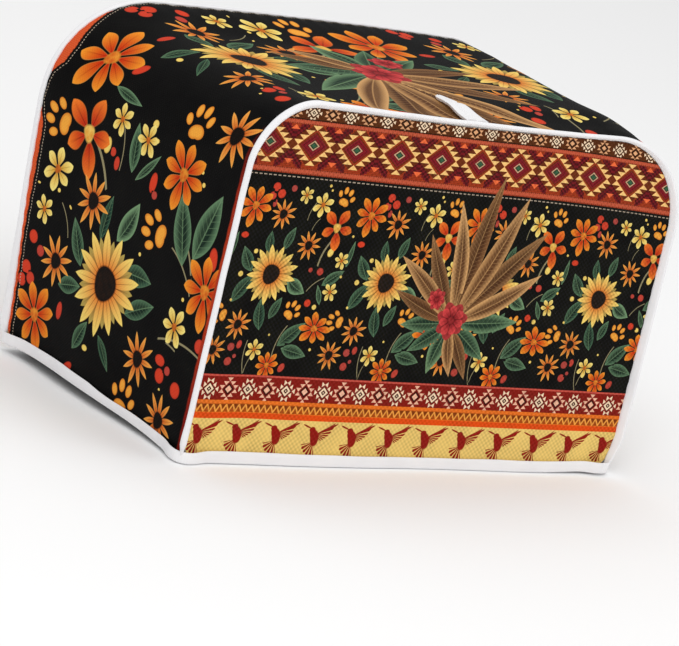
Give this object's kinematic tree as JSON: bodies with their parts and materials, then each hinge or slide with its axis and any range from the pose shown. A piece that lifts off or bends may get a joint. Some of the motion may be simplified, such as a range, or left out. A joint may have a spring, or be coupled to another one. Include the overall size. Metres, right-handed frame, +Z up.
{
  "type": "toaster cover",
  "caption": "Fitted cloth cover with a rounded top, flat front and back panels, a wrap-round gusset, taped seams, a taped hem and a hanging loop, hollow and open below.",
  "frame": {"origin": "middle of the underside of the top, where the cover is held up", "axes": "+Z up, the front panel faces -Y and the left end faces -X"},
  "size_m": [0.3133, 0.1902, 0.2069],
  "materials": {
    "printed_cloth": "matt woven cloth, printed with flowers on black and with woven-look bands",
    "binding_tape": "matt white woven tape"
  },
  "bodies": {
    "root": {"front_panel": "printed_cloth", "back_panel": "printed_cloth", "gusset": "printed_cloth", "front_binding": "binding_tape", "back_binding": "binding_tape", "hem_binding": "binding_tape", "hang_loop": "binding_tape"}
  },
  "joints": []
}
